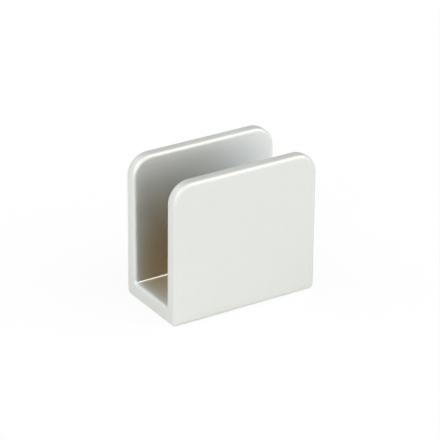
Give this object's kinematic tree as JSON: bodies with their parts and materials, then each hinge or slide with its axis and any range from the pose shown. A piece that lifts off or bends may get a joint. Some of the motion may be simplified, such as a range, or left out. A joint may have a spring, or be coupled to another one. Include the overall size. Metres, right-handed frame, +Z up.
{
  "type": "glass shelf clip",
  "caption": "One-piece U-shaped clip with rounded jaws and rolled edges, satin metal, that holds the edge of an 8 mm glass panel in its slot.",
  "frame": {"origin": "centre of the flat underside of the base", "axes": "+X along the slot, +Y from the front jaw to the back jaw, +Z up out of the slot's mouth"},
  "size_m": [0.022, 0.0122, 0.0202],
  "materials": {
    "satin_chrome": "satin"
  },
  "bodies": {
    "root": {"clip_body": "satin_chrome"}
  },
  "joints": []
}
